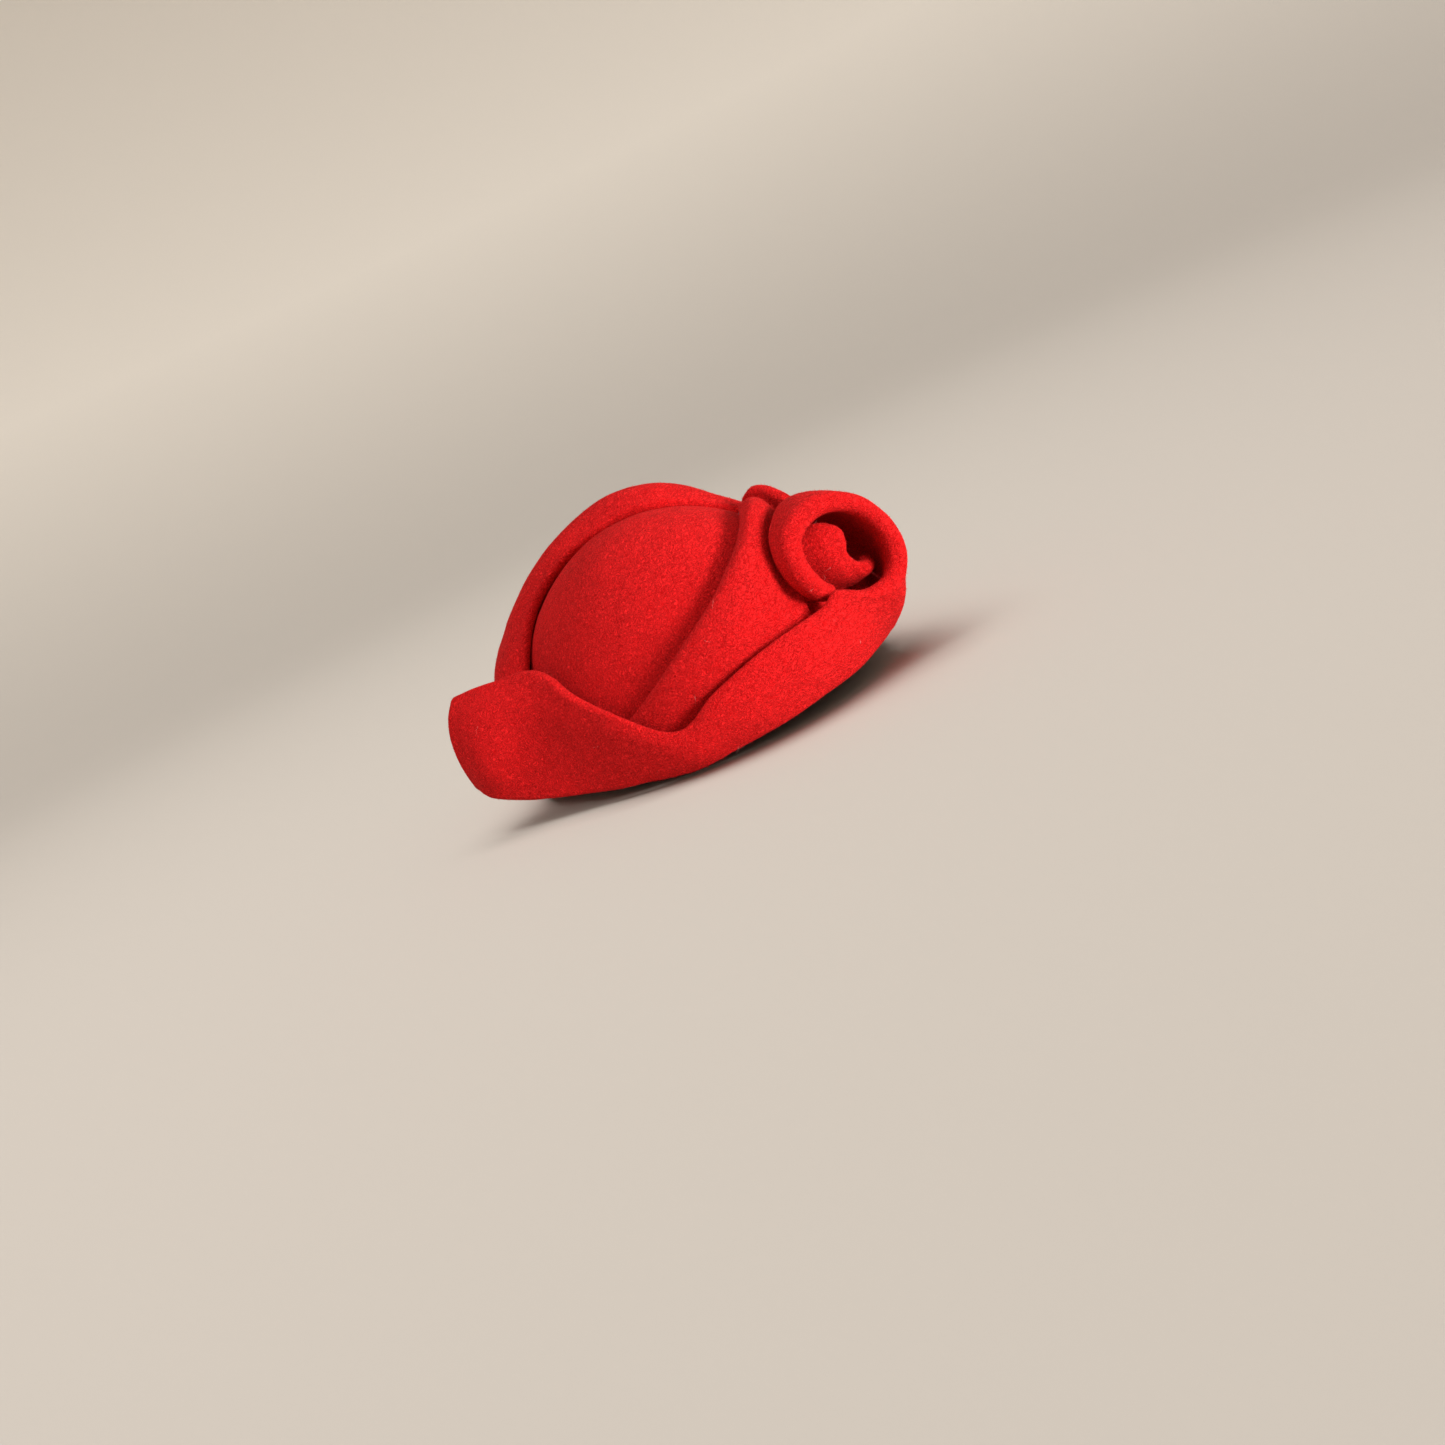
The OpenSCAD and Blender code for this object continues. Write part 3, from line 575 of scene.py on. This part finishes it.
def nap(name, base, count, material, seed, length=(0.7, 1.6), thick=0.08, lean=(0.15, 0.9)):
    """Loose fibres on a felt piece: thin, bent, closed needles that start just inside its surface."""
    rng = np.random.default_rng(seed)
    base.data.calc_loop_triangles()
    co = np.array([v.co for v in base.data.vertices]) / MM
    tris = co[np.array([t.vertices for t in base.data.loop_triangles])]
    normal = np.cross(tris[:, 1] - tris[:, 0], tris[:, 2] - tris[:, 0])
    area = np.linalg.norm(normal, axis=1)
    pick = rng.choice(len(tris), count, p=area / area.sum())
    a, b = rng.random((2, count))
    a, b = np.where(a + b > 1, 1 - a, a), np.where(a + b > 1, 1 - b, b)
    corner, one, other = tris[pick, 0], tris[pick, 1], tris[pick, 2]
    p = corner + a[:, None] * (one - corner) + b[:, None] * (other - corner)
    n = unit(normal[pick])
    along = unit(np.cross(n, rng.normal(size=(count, 3))))
    half = rng.uniform(*length, count)[:, None] * 0.5
    rise = rng.uniform(*lean, count)[:, None]
    root = p - ROOT_DEPTH * n
    middle = p + half * unit(along + rise * n)
    tip = middle + half * unit(along + STRAY * rng.normal(size=(count, 3)) + (rise - DROOP) * n)
    side = unit(np.cross(middle - root, n))
    over = unit(np.cross(side, middle - root))
    verts = np.empty((count, 7, 3))
    for k in range(3):
        turn = 2 * math.pi * k / 3
        spoke = thick / 2 * (math.cos(turn) * side + math.sin(turn) * over)
        verts[:, k], verts[:, 3 + k] = root + spoke, middle + TAPER * spoke
    verts[:, 6] = tip
    faces = [tuple(7 * i + k for k in f) for i in range(count) for f in FIBRE_FACES]
    return put(name, verts.reshape(-1, 3), faces, material, "felt")


# How many fibres each piece carries
FIBRES = ((crown, 9000), (side_brim, 10000), (bud, 2500), (pleat, 6000), (petal, 1200), (back_brim, 12000))
for seed, (base, count) in enumerate(FIBRES):
    nap(base.name.replace("_felt", "_nap"), base, count, NAP_LOOK, seed)
LINT_COUNT, LINT_SEED, LINT_LENGTH, LINT_THICK = 14, 50, (3, 5), 0.07
for k, base in enumerate((side_brim, pleat, bud)):
    nap(f"lint_{k}", base, LINT_COUNT, LINT_LOOK, LINT_SEED + k, LINT_LENGTH, LINT_THICK)

# ---------------------------------------------------------------- lining and ribbon
# Stand-off of the outer face, thickness, and latitude above the crown's edge at which each starts
LINING_OUT, LINING_T, LINING_RISE = -3.5, 0.6, 6.0
RIBBON_OUT, RIBBON_T, RIBBON_RISE = -5.5, 1.0, 1
RIBBON_H = 25.0
GORE, SEAM_HALF, SEAM_DEPTH = 60, 1.6, 0.30  # degrees to a gore and to half a seam
GATHERS, GATHER_REACH, GATHER_DEPTH = 48, 0.45, 0.45  # how many, and how far up the dome they go
RIBS, RIB_H = 400, 0.14
LAP_T, LAP_DROP = 0.9, 1.1  # the overlap lies that much further in than the ribbon


def lining_ripple(al, up):
    """Six gore seams, and gathers that die out above the ribbon. It only goes inwards."""
    seam = min(abs((al % GORE) - GORE / 2) / SEAM_HALF, 1.0)
    gathers = max(0.0, 1 - up / GATHER_REACH) * (0.5 - 0.5 * math.cos(math.radians(al * GATHERS)))
    return -SEAM_DEPTH * (1 - seam) * (1 - seam) - GATHER_DEPTH * gathers


lining_profile = shell_profile(LINING_OUT, LINING_OUT - LINING_T, LINING_RISE, 48, lining_ripple)
lining = put("lining_cloth", *dome(lining_profile, 720), LINING_LOOK, "lining", ["lining"])


def ribbon_mesh(start, stop, out, t, columns, rows=6):
    """A ribbon round the opening, ribbed across its width; closed on itself where it goes all round."""
    high = math.degrees(math.asin(RIBBON_H / RISE))
    whole = stop - start >= 360
    al = start + (stop - start) * np.arange(columns + (not whole)) / columns
    rib = RIB_H * np.cos(np.radians(al - start) * RIBS)
    edge = np.ones(rows + 1)
    edge[[0, -1]] = 0  # the woven edges lie flat
    faces, pts = [], []
    for side, base in ((1, out), (-1, out - t)):
        for up, ribbed in zip(np.linspace(0, 1, rows + 1), edge, strict=True):
            h = base + side * rib * ribbed - side * RIB_H
            pts.append(on_crown(al, edge_la(al) + RIBBON_RISE + high * up, h))
    pts = np.array(pts)
    m, n = len(pts), len(al)
    loop = [*range(rows + 1), *range(m - 1, rows, -1)]
    for k in range(m):
        a, b = loop[k], loop[(k + 1) % m]
        for j in range(n if whole else n - 1):
            c = (j + 1) % n
            faces.append((a * n + j, a * n + c, b * n + c, b * n + j))
    if not whole:
        faces += [tuple(a * n for a in loop), tuple(a * n + n - 1 for a in reversed(loop))]
    return pts.reshape(-1, 3), faces


ribbon = ribbon_mesh(0, 360, RIBBON_OUT, RIBBON_T, 1600)
headband = put("headband_ribbon", *ribbon, RIBBON_LOOK, "ribbon", ["headband"])
overlap = ribbon_mesh(172, 184, RIBBON_OUT - LAP_DROP, LAP_T, 60)
lap = put("headband_lap", *overlap, RIBBON_LOOK, "ribbon")

# ---------------------------------------------------------------- carried-over CAD nodes
THREADS = ("comb_loops",) + tuple(
    f"{sewn}_stitches" for sewn in ("headband", "side_brim", "back_brim", "pleat", "scroll")
)
WIRES = ("headsize_wire", "wing_wire", "back_brim_wire")
for look, names in ((COMB_LOOK, ("hair_comb",)), (THREAD_LOOK, THREADS), (WIRE_LOOK, WIRES)):
    for name in names:
        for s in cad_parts[name].material_slots:
            s.link = "OBJECT"
            s.material = look

# ---------------------------------------------------------------- stage, light and camera
FLOOR = float(cad_box[0].z) - 0.0005
FLAT, BEND, TOP = 1.2, 1.8, 2.6  # backdrop, in metres: flat radius, radius of the curve, height
BACKDROP_SIDES, FLAT_RINGS, CURVE_RINGS = 96, 8, 16
# Painted light: the floor is painted darker and the wall lighter, graded by height, to even out the stronger
# light that falls on the floor
FLOOR_TONE_PAINTED_DARK, WALL_TONE_PAINTED_LIGHT, SPECK_TONE = (0.41, 0.372, 0.33), (0.76, 0.70, 0.62), (0.4, 0.36, 0.32)


def stage():
    """A round seamless backdrop: a flat floor that curves up into a wall all round."""
    curve = np.pi / 2 * np.arange(1, CURVE_RINGS + 1) / CURVE_RINGS
    profile = [(FLAT * k / FLAT_RINGS, 0.0) for k in range(FLAT_RINGS + 1)]
    profile += [(FLAT + BEND * math.sin(f), BEND * (1 - math.cos(f))) for f in curve]
    profile.append((FLAT + BEND, TOP))
    n = BACKDROP_SIDES
    verts = [(0, 0, FLOOR)]
    verts += [
        (r * math.cos(2 * math.pi * k / n), r * math.sin(2 * math.pi * k / n), FLOOR + z)
        for r, z in profile[1:]
        for k in range(n)
    ]
    faces = [(0, 1 + k, 1 + (k + 1) % n) for k in range(n)]
    for i in range(len(profile) - 2):
        a, b = 1 + i * n, 1 + (i + 1) * n
        faces += [(a + k, b + k, b + (k + 1) % n, a + (k + 1) % n) for k in range(n)]
    mesh = bpy.data.meshes.new("backdrop")
    mesh.from_pydata(verts, [], faces)
    mesh.polygons.foreach_set("use_smooth", [True] * len(faces))
    k = Look("backdrop_paper", Roughness=0.95, Specular_IOR_Level=0.1)
    height = k.add("ShaderNodeSeparateXYZ", {"Vector": k.place}).outputs["Z"]
    # Painted light: darker on the floor, lighter up the wall, by height
    painted_light_paper = k.mix(k.span(height, 0.0, 0.5), FLOOR_TONE_PAINTED_DARK, WALL_TONE_PAINTED_LIGHT)
    specks = k.span(k.noise(2.5, 3.0).outputs["Fac"], 0, 1, 0, 0.06)
    mesh.materials.append(k.finish(k.mix(specks, painted_light_paper, SPECK_TONE)))
    obj = bpy.data.objects.new("backdrop", mesh)
    bpy.context.scene.collection.objects.link(obj)
    return obj


backdrop = stage()

# The camera looks from the wearer's right and front, a little down, and is held tilted
AZIMUTH, ELEVATION, ROLL = map(math.radians, (-57, 13, 25.2))
DISTANCE, SHIFT_RIGHT, SHIFT_UP = 0.706, 0.00242, -0.00154
LENS, SENSOR = 40, 36  # millimetres
back = Vector(
    (
        math.sin(AZIMUTH) * math.cos(ELEVATION),
        -math.cos(AZIMUTH) * math.cos(ELEVATION),
        math.sin(ELEVATION),
    )
)
level = Vector((math.cos(AZIMUTH), math.sin(AZIMUTH), 0))
right = level * math.cos(ROLL) - back.cross(level) * math.sin(ROLL)
up = back.cross(right)
camera = bpy.data.objects.new("camera", bpy.data.cameras.new("camera"))
bpy.context.scene.collection.objects.link(camera)
camera.data.lens, camera.data.sensor_width = LENS, SENSOR
eye = back * DISTANCE + right * SHIFT_RIGHT + up * SHIFT_UP
camera.matrix_world = Matrix.Translation(eye) @ Matrix((right, up, back)).transposed().to_4x4()
bpy.context.scene.camera = camera

AIM = Vector((0, 0, 0.05))
WORLD_TINT, WORLD_LIGHT = (1.0, 0.96, 0.92, 1), 0.38


def softbox(name, where, size, power, colour=(1, 1, 1), lights=()):
    """A square soft light aimed at the hat. With lights given, it lights only those objects."""
    light = bpy.data.objects.new(name, bpy.data.lights.new(name, "AREA"))
    bpy.context.scene.collection.objects.link(light)
    light.location = where
    light.data.size, light.data.energy, light.data.color = size, power, colour
    light.rotation_mode = "QUATERNION"
    light.rotation_quaternion = (AIM - Vector(where)).to_track_quat("-Z", "Y")
    light.visible_camera = False
    if lights:
        group = bpy.data.collections.new(name + "_lights")
        for obj in lights:
            group.objects.link(obj)
        light.light_linking.receiver_collection = group


hat_only = [o for o in bpy.context.scene.objects if o.type == "MESH" and o is not backdrop]
# Where, how wide and how strong
softbox("key", (-0.23, -1.5, 0.12), 0.6, 51, (1.0, 0.985, 0.965), hat_only)
softbox("top", (-0.5, 0.5, 1.8), 1.2, 16)
softbox("wash", (0.0, 0.0, 2.4), 2.0, 60, (1, 1, 1), [backdrop])
world = bpy.data.worlds.new("world")
bpy.context.scene.world = world
world.use_nodes = True
background = world.node_tree.nodes["Background"]
background.inputs["Color"].default_value = WORLD_TINT
background.inputs["Strength"].default_value = WORLD_LIGHT
bpy.context.scene.view_settings.view_transform = "Standard"
